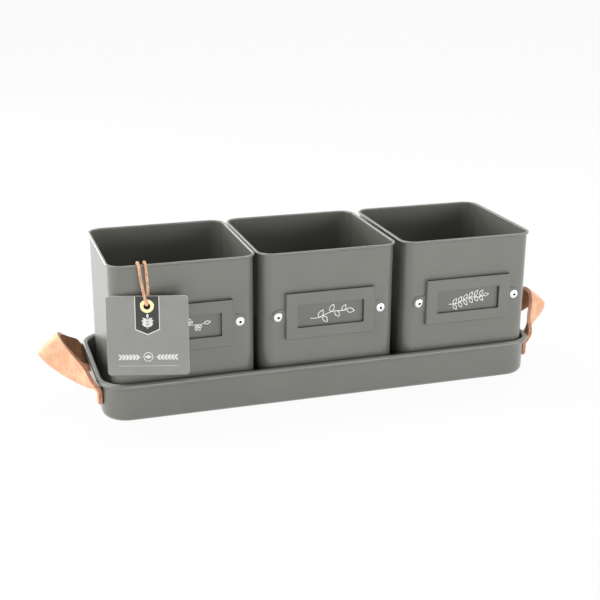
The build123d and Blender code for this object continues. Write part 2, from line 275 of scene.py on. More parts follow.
class TagSettings(PropertyGroup):
    """The hang tag and its cord."""

    side: length_setting("Side", "Width and height of the card", 59.4 * MM)
    card_colour: colour_setting("Card colour", "Printed face of the card", (0.290, 0.288, 0.272))
    # The core colour also covers the card's rounded rims, partly as painted highlight
    core_colour: colour_setting("Core colour", "Cut edge of the card", (0.84, 0.83, 0.80))
    band_colour: colour_setting("Band colour", "Dark pennant on the card", (0.021, 0.021, 0.020))
    ink_colour: colour_setting("Ink colour", "Pale line work", (0.80, 0.79, 0.76))
    brass_colour: colour_setting("Brass colour", "The eyelet", (0.88, 0.74, 0.43))
    cord_colour: colour_setting("Cord colour", "Twisted cord", (0.62, 0.37, 0.24))
    cord_diameter: length_setting("Cord diameter", "Over its three strands", 2.4 * MM)
    twist: length_setting("Twist", "Length of one turn of the strands", 8.5 * MM)


class LabelSettings(PropertyGroup):
    """The line drawings on the label plates and the bright rivets."""

    line_width: length_setting("Line width", "Width of the enamel lines", 0.7 * MM)
    line_colour: colour_setting("Line colour", "White enamel", (0.86, 0.86, 0.84))
    rivet_colour: colour_setting("Rivet colour", "Bright steel", (0.78, 0.78, 0.77))


class StageSettings(PropertyGroup):
    """The camera's lens and the light."""

    lens: FloatProperty(
        name="Lens", description="Focal length of the camera", default=68.0, unit="CAMERA",
    )
    top_power: strength_setting("Top power", "Narrow lamp overhead that draws the rims", 14.4)
    front_power: strength_setting("Front power", "Wide low lamp in front", 11.4)
    left_power: strength_setting("Left power", "Tall lamp at the left", 11.7)
    back_power: strength_setting("Back power", "Tall lamp at the left, behind", 14.4)
    right_power: strength_setting("Right power", "Tall lamp at the right", 6.6)
    sky: strength_setting("Sky", "Light from all around", 0.21)


def add_node(tree, kind, values=None, **attributes):
    """One shader node with its attributes and the values of its named inputs."""
    node = tree.nodes.new(kind)
    for name, value in attributes.items():
        setattr(node, name, value)
    for name, value in (values or {}).items():
        node.inputs[name].default_value = value
    return node


def effect_group(name, inputs, outputs):
    """A new shader node group with named sockets, given as name to socket type."""
    group = bpy.data.node_groups.new(name, "ShaderNodeTree")
    for socket, kind in inputs.items():
        group.interface.new_socket(socket, in_out="INPUT", socket_type=kind)
    for socket, kind in outputs.items():
        group.interface.new_socket(socket, in_out="OUTPUT", socket_type=kind)
    return group, group.nodes.new("NodeGroupInput"), group.nodes.new("NodeGroupOutput")


def mottle_group():
    """Two colours mixed by soft patches, with finer grain over them."""
    group, given, result = effect_group(
        "mottle",
        {
            "Colour A": "NodeSocketColor",
            "Colour B": "NodeSocketColor",
            "Patches": "NodeSocketFloat",
            "Grain": "NodeSocketFloat",
            "Contrast": "NodeSocketFloat",
        },
        {"Colour": "NodeSocketColor"},
    )
    place = add_node(group, "ShaderNodeTexCoord")
    patches = add_node(group, "ShaderNodeTexNoise", {"Detail": 3.0, "Roughness": 0.55})
    grain = add_node(group, "ShaderNodeTexNoise", {"Detail": 5.0, "Roughness": 0.6})
    both = add_node(group, "ShaderNodeMix", {"Factor": GRAIN_SHARE}, data_type="FLOAT")
    spread = add_node(
        group, "ShaderNodeMapRange", {"From Min": NOISE_LOW, "From Max": NOISE_HIGH, "To Min": 0.0}
    )
    mix = add_node(group, "ShaderNodeMix", data_type="RGBA")
    link = group.links.new
    link(place.outputs["Object"], patches.inputs["Vector"])
    link(place.outputs["Object"], grain.inputs["Vector"])
    link(given.outputs["Patches"], patches.inputs["Scale"])
    link(given.outputs["Grain"], grain.inputs["Scale"])
    link(patches.outputs["Fac"], both.inputs["A"])
    link(grain.outputs["Fac"], both.inputs["B"])
    link(both.outputs["Result"], spread.inputs["Value"])
    link(given.outputs["Contrast"], spread.inputs["To Max"])
    link(spread.outputs["Result"], mix.inputs["Factor"])
    link(given.outputs["Colour A"], mix.inputs[MIX_A])
    link(given.outputs["Colour B"], mix.inputs[MIX_B])
    link(mix.outputs[MIX_COLOUR], result.inputs["Colour"])
    return group


def dimple_group():
    """Heights of a pebbled or pored surface, from fine cells and a slower swell."""
    group, given, result = effect_group(
        "dimples",
        {"Size": "NodeSocketFloat", "Swell": "NodeSocketFloat"},
        {"Height": "NodeSocketFloat"},
    )
    place = add_node(group, "ShaderNodeTexCoord")
    scale = add_node(group, "ShaderNodeMath", {0: 1.0}, operation="DIVIDE")
    cells = add_node(group, "ShaderNodeTexVoronoi", {"Randomness": 1.0}, feature="SMOOTH_F1")
    swell = add_node(group, "ShaderNodeTexNoise", {"Detail": 2.0})
    slower = add_node(group, "ShaderNodeMath", {1: SWELL_WAVES}, operation="MULTIPLY")
    mix = add_node(group, "ShaderNodeMix", data_type="FLOAT")
    link = group.links.new
    link(given.outputs["Size"], scale.inputs[1])
    link(scale.outputs[0], cells.inputs["Scale"])
    link(scale.outputs[0], slower.inputs[0])
    link(slower.outputs[0], swell.inputs["Scale"])
    link(place.outputs["Object"], cells.inputs["Vector"])
    link(place.outputs["Object"], swell.inputs["Vector"])
    link(given.outputs["Swell"], mix.inputs["Factor"])
    link(cells.outputs["Distance"], mix.inputs["A"])
    link(swell.outputs["Fac"], mix.inputs["B"])
    link(mix.outputs["Result"], result.inputs["Height"])
    return group


def bore_shade_mask_group():
    """One inside the bores of a pair of rivets along Y, for their painted shade; nought elsewhere.
    """
    group, given, result = effect_group(
        "rivet_bores",
        {
            "Centre": "NodeSocketFloat",
            "Half Spacing": "NodeSocketFloat",
            "Height": "NodeSocketFloat",
            "Radius": "NodeSocketFloat",
        },
        {"Mask": "NodeSocketFloat"},
    )
    place = add_node(group, "ShaderNodeTexCoord")
    parts = add_node(group, "ShaderNodeSeparateXYZ")
    from_middle = add_node(group, "ShaderNodeMath", operation="SUBTRACT")
    side = add_node(group, "ShaderNodeMath", operation="ABSOLUTE")
    across = add_node(group, "ShaderNodeMath", operation="SUBTRACT")
    up = add_node(group, "ShaderNodeMath", operation="SUBTRACT")
    both = add_node(group, "ShaderNodeCombineXYZ")
    far = add_node(group, "ShaderNodeVectorMath", operation="LENGTH")
    inside = add_node(group, "ShaderNodeMath", operation="LESS_THAN")
    link = group.links.new
    link(place.outputs["Object"], parts.inputs[0])
    link(parts.outputs["X"], from_middle.inputs[0])
    link(given.outputs["Centre"], from_middle.inputs[1])
    link(from_middle.outputs[0], side.inputs[0])
    link(side.outputs[0], across.inputs[0])
    link(given.outputs["Half Spacing"], across.inputs[1])
    link(parts.outputs["Z"], up.inputs[0])
    link(given.outputs["Height"], up.inputs[1])
    link(across.outputs[0], both.inputs["X"])
    link(up.outputs[0], both.inputs["Y"])
    link(both.outputs[0], far.inputs[0])
    link(far.outputs["Value"], inside.inputs[0])
    link(given.outputs["Radius"], inside.inputs[1])
    link(inside.outputs[0], result.inputs["Mask"])
    return group


def shared_group(name, build):
    """The node group of a name, which is built when it is first asked for."""
    return bpy.data.node_groups.get(name) or build()


def surface(name, finish):
    """A material whose shader has the given finish on its own sockets."""
    material = bpy.data.materials.new(name)
    material.use_nodes = True
    shader = material.node_tree.nodes["Principled BSDF"]
    for socket, value in finish.items():
        shader.inputs[socket].default_value = value
    return material, material.node_tree, shader


def mottled_surface(name, colours, finish, patches, grain, dimples, swell, depth, contrast=1.0):
    """A surface in two mottled colours with a dimpled relief.

    Patches and grain are counted per metre. The dimples' size and depth are in metres, and swell is
    the share of slower waves in the relief.
    """
    material, tree, shader = surface(name, finish)
    mottle = add_node(
        tree, "ShaderNodeGroup",
        {
            "Colour A": colours[0],
            "Colour B": colours[1],
            "Patches": patches,
            "Grain": grain,
            "Contrast": contrast,
        },
        node_tree=shared_group("mottle", mottle_group),
    )
    heights = add_node(
        tree, "ShaderNodeGroup", {"Size": dimples, "Swell": swell},
        node_tree=shared_group("dimples", dimple_group),
    )
    bump = add_node(tree, "ShaderNodeBump", {"Distance": depth, "Strength": 1.0})
    tree.links.new(mottle.outputs["Colour"], shader.inputs["Base Color"])
    tree.links.new(heights.outputs["Height"], bump.inputs["Height"])
    tree.links.new(bump.outputs["Normal"], shader.inputs["Normal"])
    return material


def lighter(colour, factor):
    """A colour times a factor, opaque and no brighter than white."""
    return [min(1.0, channel * factor) for channel in colour[:3]] + [1.0]


def shades(colour, first, second):
    """Two shades of a colour, each given as a factor."""
    return lighter(colour, first), lighter(colour, second)


def dress(node, material):
    """Gives a solid's mesh its material."""
    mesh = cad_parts[node].data
    mesh.materials.clear()
    mesh.materials.append(material)


def new_piece(name, mesh, materials, body):
    """A finished piece at the origin that moves with a body."""
    piece = bpy.data.objects.new(name, mesh)
    bpy.context.scene.collection.objects.link(piece)
    for material in materials:
        mesh.materials.append(material)
    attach(piece, body)
    return piece


def to_mesh(bm, name, smooth=True):
    """The mesh that a bmesh holds, which is then freed."""
    mesh = bpy.data.meshes.new(name)
    for face in bm.faces:
        face.smooth = smooth
    bm.to_mesh(mesh)
    bm.free()
    return mesh


def clamped_line(points, start, end, count):
    """Points in metres along a smooth line through given ones in millimetres.

    The line leaves its first point in the start direction and meets its last one in the end's.
    """
    points = np.array(points, float)
    runs = np.linalg.norm(np.diff(points, axis=0), axis=1)
    last = len(points) - 1
    system, wanted = np.zeros((last + 1, last + 1)), np.zeros((last + 1, 3))
    system[0, 0] = system[last, last] = 1
    wanted[0], wanted[last] = start, end
    for i in range(1, last):
        before, after = runs[i - 1], runs[i]
        system[i, i - 1 : i + 2] = after, 2 * (before + after), before
        rise = after * (points[i] - points[i - 1]) / before
        rise = rise + before * (points[i + 1] - points[i]) / after
        wanted[i] = 3 * rise
    slopes = np.linalg.solve(system, wanted)
    knots = np.concatenate([[0], np.cumsum(runs)])
    line = []
    for at in np.linspace(0, knots[-1], count):
        i = min(int(np.searchsorted(knots, at, side="right")) - 1, last - 1)
        run = runs[i]
        t = (at - knots[i]) / run
        line.append(
            (2 * t**3 - 3 * t**2 + 1) * points[i]
            + (t**3 - 2 * t**2 + t) * run * slopes[i]
            + (3 * t**2 - 2 * t**3) * points[i + 1]
            + (t**3 - t**2) * run * slopes[i + 1]
        )
    return [Vector(point) * MM for point in line]


def chain(bm, points):
    """Vertices joined by edges along the points."""
    verts = [bm.verts.new(point) for point in points]
    return [bm.edges.new(pair) for pair in zip(verts, verts[1:])]


class HERB_OT_paint(Operator):
    """Paints the tray, the pots, the label holders and the label plates"""

    bl_idname = "herb_planter.paint"
    bl_label = "Paint the steel"

    def execute(self, context):
        settings = context.scene.herb_paint
        finish = {"Roughness": settings.roughness, "Specular IOR Level": 0.8}
        peel = {"dimples": settings.peel_size, "swell": 0.5, "depth": 0.04 * MM}
        paint = mottled_surface(
            "charcoal_powder_coat", shades(settings.colour, 0.97, 1.04), finish,
            patches=30, grain=700, **peel,
        )
        plate = mottled_surface(
            "plate_paint", shades(settings.plate_colour, 0.97, 1.04), finish,
            patches=40, grain=900, **peel,
        )
        dress("tray", paint)
        for pot in POTS:
            dress(f"pot_{pot}", paint)
            dress(f"label_holder_{pot}", paint)
            dress(f"label_plate_{pot}", plate)
        return {"FINISHED"}


class HERB_OT_rivets(Operator):
    """Gives the rivets and washers their bright steel"""

    bl_idname = "herb_planter.rivets"
    bl_label = "Polish the rivets"

    def execute(self, context):
        settings = context.scene.herb_label
        steel = mottled_surface(
            "bright_rivet_steel", shades(settings.rivet_colour, 0.9, 1.05),
            {"Metallic": 1.0, "Roughness": 0.28},
            patches=300, grain=2500, dimples=0.6 * MM, swell=0.5, depth=0.03 * MM,
        )
        for pot in POTS:
            dress(f"holder_rivets_{pot}", with_painted_bore_shade(steel, f"holder_rivets_{pot}"))
        for end in ENDS:
            dress(f"strap_rivets_{end}", steel)
            dress(f"rivet_washers_{end}", steel)
        return {"FINISHED"}


def with_painted_bore_shade(steel, node):
    """A copy of rivet steel with painted shade: near black in bores where the mandrel broke off."""
    low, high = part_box(node)
    material = steel.copy()
    material.name = f"steel_{node}"
    tree = material.node_tree
    shader = tree.nodes["Principled BSDF"]
    bores = add_node(
        tree, "ShaderNodeGroup",
        {
            "Centre": (low.x + high.x) / 2,
            "Half Spacing": (high.x - low.x - RIVET_HEAD) / 2,
            "Height": (low.z + high.z) / 2,
            "Radius": RIVET_BORE / 2,
        },
        node_tree=shared_group("rivet_bores", bore_shade_mask_group),
    )
    # Painted shade: the bores' mask mixes near black into the steel's colour
    mix = add_node(tree, "ShaderNodeMix", {MIX_B: PAINTED_BORE_SHADE}, data_type="RGBA")
    steel_colour = shader.inputs["Base Color"].links[0].from_socket
    tree.links.new(bores.outputs["Mask"], mix.inputs["Factor"])
    tree.links.new(steel_colour, mix.inputs[MIX_A])
    tree.links.new(mix.outputs[MIX_COLOUR], shader.inputs["Base Color"])
    return material


class HERB_OT_straps(Operator):
    """Makes the two leather straps with rounded, burnished edges"""

    bl_idname = "herb_planter.straps"
    bl_label = "Make the straps"

    def execute(self, context):
        settings = context.scene.herb_leather
        grain = mottled_surface(
            "leather_grain", (settings.grain_colour, settings.flush_colour),
            {"Roughness": 0.6, "Specular IOR Level": 0.15}, contrast=0.85,
            patches=130, grain=520, dimples=0.7 * MM, swell=0.35, depth=0.07 * MM,
        )
        flesh = mottled_surface(
            "leather_flesh", shades(settings.flesh_colour, 1.0, 1.5),
            {"Roughness": 0.85, "Specular IOR Level": 0.2}, contrast=0.9,
            patches=160, grain=1500, dimples=0.4 * MM, swell=0.6, depth=0.15 * MM,
        )
        edge = mottled_surface(
            "leather_edge", shades(settings.edge_colour, 1.0, 1.7),
            {"Roughness": 0.5, "Specular IOR Level": 0.35}, contrast=0.8,
            patches=260, grain=1800, dimples=0.3 * MM, swell=0.5, depth=0.08 * MM,
        )
        for end in ENDS:
            mesh = strap_mesh(end, settings)
            piece = new_piece(
                f"leather_strap_{end}", mesh, [grain, flesh, edge], "tray"
            )
            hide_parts(f"strap_{end}")
        return {"FINISHED"}


def strap_mesh(end, settings):
    """The strap: a skin between its two edges, mirrored, thickened and with round edges."""
    up, along = (0, 0, 1), (0, 1, 0)
    upper = clamped_line(STRAP_UPPER_EDGE, up, along, settings.rows)
    lower = clamped_line(STRAP_LOWER_EDGE, up, along, settings.rows)
    for line in (upper, lower):
        line.insert(0, Vector((line[0].x, line[0].y, STRAP_TAB_BOTTOM)))
    bm = bmesh.new()
    edges = chain(bm, upper) + chain(bm, lower)
    bmesh.ops.bridge_loops(bm, edges=edges)
    across = [edge for edge in bm.edges if edge not in edges]
    bmesh.ops.subdivide_edges(bm, edges=across, cuts=3)
    bm.normal_update()
    crown_strap(bm, settings.crown)
    bmesh.ops.mirror(bm, geom=bm.verts[:] + bm.edges[:] + bm.faces[:], axis="Y", merge_dist=MERGE)
    bmesh.ops.remove_doubles(bm, verts=bm.verts[:], dist=MERGE)
    bmesh.ops.recalc_face_normals(bm, faces=bm.faces[:])
    if sum(face.normal.x for face in bm.faces) < 0:
        bmesh.ops.reverse_faces(bm, faces=bm.faces[:])
    thicken(bm, STRAP_THICKNESS, (FRONT, BACK, SIDE))
    corners = [edge for edge in bm.edges if is_tab_corner(edge)]
    bevel_edges(bm, corners, STRAP_TAB_RADIUS, segments=6, slot=KEEP_SLOT)
    bevel_edges(bm, rim_edges(bm), settings.edge_round, segments=3, slot=SIDE)
    if end == "left":
        bmesh.ops.scale(bm, vec=(-1, 1, 1), verts=bm.verts[:])
        bmesh.ops.recalc_face_normals(bm, faces=bm.faces[:])
    return to_mesh(bm, f"leather_strap_{end}")


def crown_strap(bm, height):
    """Bulges the strap's middle columns a little, as bent leather does, but not on the tab."""
    outer, inner = abs(STRAP_UPPER_EDGE[0][1]) * MM, abs(STRAP_LOWER_EDGE[0][1]) * MM
    loop_start = STRAP_UPPER_EDGE[0][2] * MM
    for vert in [v for v in bm.verts if not v.is_boundary and v.co.z > loop_start]:
        sign = 1 if vert.normal.x > 0 else -1
        rise = min(1.0, (vert.co.z - loop_start) / (outer - inner))
        vert.co += sign * vert.normal * height * rise


def thicken(bm, thickness, slots):
    """Turns an open skin into a closed slab on its front side, with a slot for each side."""
    front, back, side = slots
    skin = bm.faces[:]
    grown = bmesh.ops.extrude_face_region(bm, geom=skin, use_keep_orig=True)["geom"]
    fresh = {item for item in grown if isinstance(item, bmesh.types.BMFace)}
    moved = [item for item in grown if isinstance(item, bmesh.types.BMVert)]
    for face in bm.faces:
        face.material_index = side
    for face in skin:
        face.material_index = back
    for face in fresh:
        face.material_index = front
    directions = {}
    for vert in moved:
        normals = [face.normal for face in vert.link_faces if face in fresh]
        directions[vert] = sum(normals, Vector()).normalized()
    for vert in moved:
        vert.co += directions[vert] * thickness
    bmesh.ops.recalc_face_normals(bm, faces=bm.faces[:])


def rim_edges(bm):
    """Edges between a broad side and the cut side."""
    found = []
    for edge in bm.edges:
        kinds = {face.material_index for face in edge.link_faces}
        if SIDE in kinds and kinds & {FRONT, BACK}:
            found.append(edge)
    return found


def is_tab_corner(edge):
    """Whether an edge crosses the thickness at a lower corner of a strap's tab."""
    one, other = (vert.co for vert in edge.verts)
    low = max(one.z, other.z) < STRAP_TAB_BOTTOM + NEAR
    across = abs(one.x - other.x) > STRAP_THICKNESS / 2
    beside = (abs(STRAP_UPPER_EDGE[0][1]) * MM, abs(STRAP_LOWER_EDGE[0][1]) * MM)
    return low and across and any(abs(abs(one.y) - y) < NEAR for y in beside)


def bevel_edges(bm, edges, offset, segments, slot):
    """Rounds edges, with the new faces in a material slot."""
    bmesh.ops.bevel(
        bm, geom=edges, offset=offset, offset_type="OFFSET", segments=segments, affect="EDGES",
        profile=0.5, material=slot, clamp_overlap=True,
    )


def curve_object(name, lines, order=3):
    """A curve of smooth splines, each given as its points and whether it is closed."""
    curve = bpy.data.curves.new(name, "CURVE")
    curve.dimensions = "3D"
    curve.resolution_u = 12
    for points, closed in lines:
        spline = curve.splines.new("NURBS")
        spline.points.add(len(points) - 1)
        for point, place in zip(spline.points, points):
            point.co = (*place, 1.0)
        spline.use_cyclic_u = closed
        spline.order_u = order
        spline.use_endpoint_u = not closed
    return bpy.data.objects.new(name, curve)


def curve_mesh(holder):
    """The mesh of a curve object, which is then deleted."""
    bpy.context.scene.collection.objects.link(holder)
    bpy.context.view_layer.update()
    depsgraph = bpy.context.evaluated_depsgraph_get()
    mesh = bpy.data.meshes.new_from_object(holder.evaluated_get(depsgraph))
    curve = holder.data
    bpy.data.objects.remove(holder)
    bpy.data.curves.remove(curve)
    return mesh


def weld_caps(mesh):
    """Joins the end caps of a mesh's tubes to the tubes."""
    bm = bmesh.new()
    bm.from_mesh(mesh)
    bmesh.ops.remove_doubles(bm, verts=bm.verts[:], dist=MERGE)
    bm.to_mesh(mesh)
    bm.free()
    return mesh


def line_work(bm, lines, width, relief, lift):
    """Adds flat enamel or ink lines, drawn in X and Y in millimetres, half sunk at Z = lift."""
    flat = [([Vector((x, y, 0)) * MM for x, y in points], closed) for points, closed in lines]
    holder = curve_object("line_work", flat)
    holder.data.bevel_depth = width / 2
    holder.data.bevel_resolution = 2
    holder.data.use_fill_caps = True
    mesh = weld_caps(curve_mesh(holder))
    added = bmesh.new()
    added.from_mesh(mesh)
    bmesh.ops.scale(added, vec=(1, 1, 2 * relief / width), verts=added.verts[:])
    bmesh.ops.translate(added, vec=(0, 0, lift), verts=added.verts[:])
    added.to_mesh(mesh)
    added.free()
    bm.from_mesh(mesh)
    bpy.data.meshes.remove(mesh)


def leaf(bm, base, angle, length, width, relief, lift):
    """Adds one filled leaf with two pointed ends, in millimetres from its base."""
    made = bmesh.ops.create_circle(bm, cap_ends=True, radius=1.0, segments=16)["verts"]
    # The circle is pinched to a point at each end
    for vert in made:
        vert.co.y *= math.sqrt(max(0.0, 1 - vert.co.x**2))
    bmesh.ops.remove_doubles(bm, verts=made, dist=MERGE)
    made = [vert for vert in made if vert.is_valid]
    faces = list({face for vert in made for face in vert.link_faces})
    top = bmesh.ops.extrude_face_region(bm, geom=faces, use_keep_orig=True)["geom"]
    top = [item for item in top if isinstance(item, bmesh.types.BMVert)]
    turn = Matrix.Translation((base[0] * MM, base[1] * MM, lift)) @ Matrix.Rotation(angle, 4, "Z")
    size = Matrix.Diagonal((length / 2 * MM, width / 2 * MM, 1, 1)) @ Matrix.Translation((1, 0, 0))
    bmesh.ops.translate(bm, vec=(0, 0, relief), verts=top)
    bmesh.ops.transform(bm, matrix=turn @ size, verts=made + top)
    shell = {face for vert in made + top for face in vert.link_faces}
    bmesh.ops.recalc_face_normals(bm, faces=list(shell))


def leaf_outline(base, angle, length, width):
    """A closed line round one leaf."""
    turned = []
    for x, y in LEAF_SHAPE:
        u, v = x * length, y * width
        turned.append((
            base[0] + u * math.cos(angle) - v * math.sin(angle),
            base[1] + u * math.sin(angle) + v * math.cos(angle),
        ))
    return turned, True


def sprig_lines(kind):
    """The strokes of a simple herb sprig on a label, in millimetres about its middle."""
    lines = [(SPRIG_STEM, False)]
    for x, y, turn, length, width in SPRIG_LEAVES[kind]:
        lines.append(leaf_outline((x, y), math.radians(turn), length, width))
    return [([(x * SPRIG_SCALE, y * SPRIG_SCALE) for x, y in line], ring) for line, ring in lines]


class HERB_OT_label_sprigs(Operator):
    """Draws a white herb sprig on each label plate"""

    bl_idname = "herb_planter.label_sprigs"
    bl_label = "Draw the label sprigs"

    def execute(self, context):
        settings = context.scene.herb_label
        enamel = mottled_surface(
            "white_enamel", shades(settings.line_colour, 0.96, 1.0), {"Roughness": 0.35},
            patches=200, grain=2000, dimples=0.5 * MM, swell=0.5, depth=0.01 * MM,
        )
        for pot in POTS:
            low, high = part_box(f"label_plate_{pot}")
            holder_low, holder_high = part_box(f"label_holder_{pot}")
            middle = Vector(((low.x + high.x) / 2, low.y, (holder_low.z + holder_high.z) / 2))
            bm = bmesh.new()
            line_work(
                bm, sprig_lines(pot), settings.line_width, relief=ENAMEL_RELIEF, lift=ENAMEL_LIFT
            )
            place = Matrix.Translation(middle) @ Matrix.Rotation(math.radians(90), 4, "X")
            bmesh.ops.transform(bm, matrix=place, verts=bm.verts[:])
            new_piece(
                f"sprig_{pot}", to_mesh(bm, f"sprig_{pot}"), [enamel], f"label_plate_{pot}",
            )
        return {"FINISHED"}


def tag_matrix():
    """The card's own plane: X to the right, Y up it, Z towards the viewer."""
    place = Matrix.Translation(Vector(TAG_CENTRE) * MM)
    turn = Matrix.Rotation(TAG_YAW, 4, "Z") @ Matrix.Rotation(TAG_PITCH, 4, "X")
    return place @ turn @ Matrix.Rotation(math.radians(90), 4, "X")


def holed_plate(bm, outline, corner, hole, bottom, thickness, slots):
    """A flat plate with rounded corners and a round hole, from its outline in millimetres."""
    verts = [bm.verts.new((x * MM, y * MM, bottom)) for x, y in outline]
    for one, other in zip(verts, verts[1:] + verts[:1]):
        bm.edges.new((one, other))
    if corner:
        face = bm.faces.new(verts)
        bmesh.ops.bevel(
            bm, geom=face.verts[:], offset=corner, offset_type="OFFSET", segments=8,
            affect="VERTICES", profile=0.5, material=KEEP_SLOT,
        )
        bmesh.ops.delete(bm, geom=bm.faces[:], context="FACES_ONLY")
    centre = Matrix.Translation((0, EYELET_ABOVE_CENTRE, bottom))
    bmesh.ops.create_circle(bm, cap_ends=False, radius=hole / 2, segments=48, matrix=centre)
    bmesh.ops.triangle_fill(bm, edges=bm.edges[:], use_beauty=True, normal=(0, 0, 1))
    bmesh.ops.recalc_face_normals(bm, faces=bm.faces[:])
    bm.normal_update()
    if sum(face.normal.z for face in bm.faces) < 0:
        bmesh.ops.reverse_faces(bm, faces=bm.faces[:])
    thicken(bm, thickness, slots)


class HERB_OT_tag(Operator):
    """Makes the hang tag: the card, its dark pennant, pale line work and the brass eyelet"""

    bl_idname = "herb_planter.tag"
    bl_label = "Make the tag"

    def execute(self, context):
        settings = context.scene.herb_tag
        card = mottled_surface(
            "grey_card", shades(settings.card_colour, 0.97, 1.03),
            {"Roughness": 0.6, "Specular IOR Level": 0.35},
            patches=60, grain=900, dimples=0.5 * MM, swell=0.6, depth=0.02 * MM,
        )
        core = mottled_surface(
            "card_core", shades(settings.core_colour, 0.93, 1.0), {"Roughness": 0.85},
            patches=900, grain=4000, dimples=0.3 * MM, swell=0.6, depth=0.04 * MM,
        )
        band = mottled_surface(
            "dark_print", shades(settings.band_colour, 1.0, 1.5), {"Roughness": 0.5},
            patches=80, grain=1200, dimples=0.5 * MM, swell=0.6, depth=0.02 * MM,
        )
        ink = mottled_surface(
            "pale_ink", shades(settings.ink_colour, 0.95, 1.0), {"Roughness": 0.6},
            patches=300, grain=3000, dimples=0.4 * MM, swell=0.6, depth=0.01 * MM,
        )
        brass = mottled_surface(
            "eyelet_brass", shades(settings.brass_colour, 1.0, 0.9),
            {"Metallic": 1.0, "Roughness": 0.24},
            patches=250, grain=2600, dimples=0.5 * MM, swell=0.5, depth=0.01 * MM,
        )
        dress("tag_eyelet", brass)
        piece = new_piece(
            "card_tag", card_mesh(settings), [card, card, core], "hang_tag"
        )
        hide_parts("hang_tag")
        rim = pennant_mesh("pennant_rim", half=9.0, tip=0.5, thickness=PENNANT_RIM_THICKNESS)
        new_piece("tag_pennant_rim", rim, [ink], "hang_tag")
        dark = pennant_mesh("pennant", half=8.4, tip=1.3, thickness=PENNANT_THICKNESS)
        new_piece("tag_pennant", dark, [band], "hang_tag")
        new_piece("tag_line_work", tag_ornament(), [ink], "hang_tag")
        return {"FINISHED"}


def card_mesh(settings):
    """Square card with hole, pale cut edge and softened rims, partly pale as painted highlight."""
    half = settings.side / 2 / MM
    bm = bmesh.new()
    outline = [(-half, -half), (half, -half), (half, half), (-half, half)]
    holed_plate(
        bm, outline, TAG_CORNER, EYELET_HOLE, -TAG_THICKNESS / 2, TAG_THICKNESS,
        (FRONT, BACK, SIDE),
    )
    # The rounded rims take the pale core colour: partly the white core, partly painted highlight
    bevel_edges(bm, rim_edges(bm), TAG_EDGE_ROUND, segments=2, slot=SIDE)
    bmesh.ops.transform(bm, matrix=tag_matrix(), verts=bm.verts[:])
    return to_mesh(bm, "card_tag", smooth=False)


def pennant_mesh(name, half, tip, thickness):
    """A pennant printed on the card from its top edge down to a point, in millimetres."""
    shoulder = tip + half * PENNANT_SLOPE
    outline = [
        (-half, shoulder), (0, tip), (half, shoulder), (half, PENNANT_TOP), (-half, PENNANT_TOP),
    ]
    bm = bmesh.new()
    hole = EYELET_OUTSIDE - EYELET_OVERLAP
    holed_plate(bm, outline, 0, hole, TAG_FRONT, thickness, (FRONT, FRONT, FRONT))
    bmesh.ops.transform(bm, matrix=tag_matrix(), verts=bm.verts[:])
    return to_mesh(bm, name, smooth=False)


def tag_ornament():
    """Pale leaves, a ring and a row of dots where such cards carry print."""
    bm = bmesh.new()
    on_card = {"relief": INK_RELIEF, "lift": TAG_FRONT}
    left_stem = [(-20, GARLAND_LEVEL), (-12, GARLAND_LEVEL - 0.6), (-5.2, GARLAND_LEVEL)]
    right_stem = [(-x, y) for x, y in reversed(left_stem)]
    line_work(bm, [(left_stem, False), (right_stem, False)], width=0.45 * MM, **on_card)
    ring = []
    for step in range(RING_POINTS):
        angle = 2 * math.pi * step / RING_POINTS
        ring.append((RING_RADIUS * math.cos(angle), GARLAND_LEVEL + RING_RADIUS * math.sin(angle)))
    line_work(bm, [(ring, True)], width=0.6 * MM, **on_card)
    leaf(bm, (-2.4, GARLAND_LEVEL), 0, length=4.8, width=2.6, **on_card)
    for step in range(GARLAND_LEAVES):
        x = GARLAND_START + GARLAND_STEP * step
        for side in (-1, 1):
            for up in (-1, 1):
                angle = math.radians(90 - side * GARLAND_LEAN) * up
                leaf(bm, (side * x, GARLAND_LEVEL - 0.2), angle, length=3.4, width=1.5, **on_card)
    for step in range(DOTS):
        x = (step - (DOTS - 1) / 2) * DOT_PITCH
        dot = Matrix.Translation((x * MM, DOT_LEVEL * MM, TAG_FRONT))
        bmesh.ops.create_uvsphere(
            bm, u_segments=10, v_segments=6, radius=DOT_RADIUS,
            matrix=dot @ Matrix.Diagonal((1, 1, DOT_FLATNESS, 1)),
        )
    on_pennant = {"relief": INK_RELIEF, "lift": TAG_FRONT + PENNANT_THICKNESS}
    stem = [(0, 5.2), (0.3, 8), (0, 11.5), (0.2, 14.2)]
    line_work(bm, [(stem, False)], width=0.5 * MM, **on_pennant)
    for y, size in PENNANT_LEAVES:
        for side in (-1, 1):
            angle = math.radians(90 - side * PENNANT_LEAN)
            leaf(bm, (0.1, y), angle, length=size, width=size * 0.42, **on_pennant)
    leaf(bm, (0.15, 13.0), math.radians(90), length=3.8, width=1.8, **on_pennant)
    bmesh.ops.transform(bm, matrix=tag_matrix(), verts=bm.verts[:])
    return to_mesh(bm, "tag_line_work", smooth=False)


def strand_mesh(name, path, diameter, twist):
    """Three strands twisted round a path, as one mesh."""
    # Three circles that touch each other fill the cord's own circle
    radius = diameter / 2 / (1 + 2 / math.sqrt(3))
    offset = diameter / 2 - radius
    strands = [[], [], []]
    normal = Vector((1, 0, 0))
    travelled = 0.0
    for i, point in enumerate(path):
        before, after = path[max(i - 1, 0)], path[min(i + 1, len(path) - 1)]
        tangent = (after - before).normalized()
        normal = (normal - tangent * normal.dot(tangent)).normalized()
        sideways = tangent.cross(normal)
        travelled += (point - path[i - 1]).length if i else 0.0
        for k, strand in enumerate(strands):
            angle = 2 * math.pi * (travelled / twist + k / 3)
            out = normal * math.cos(angle) + sideways * math.sin(angle)
            strand.append(point + out * offset)
    holder = curve_object(name, [(strand, False) for strand in strands], order=2)
    holder.data.resolution_u = 1
    holder.data.bevel_depth = radius * STRAND_OVERLAP
    holder.data.bevel_resolution = 2
    holder.data.use_fill_caps = True
    return weld_caps(curve_mesh(holder))


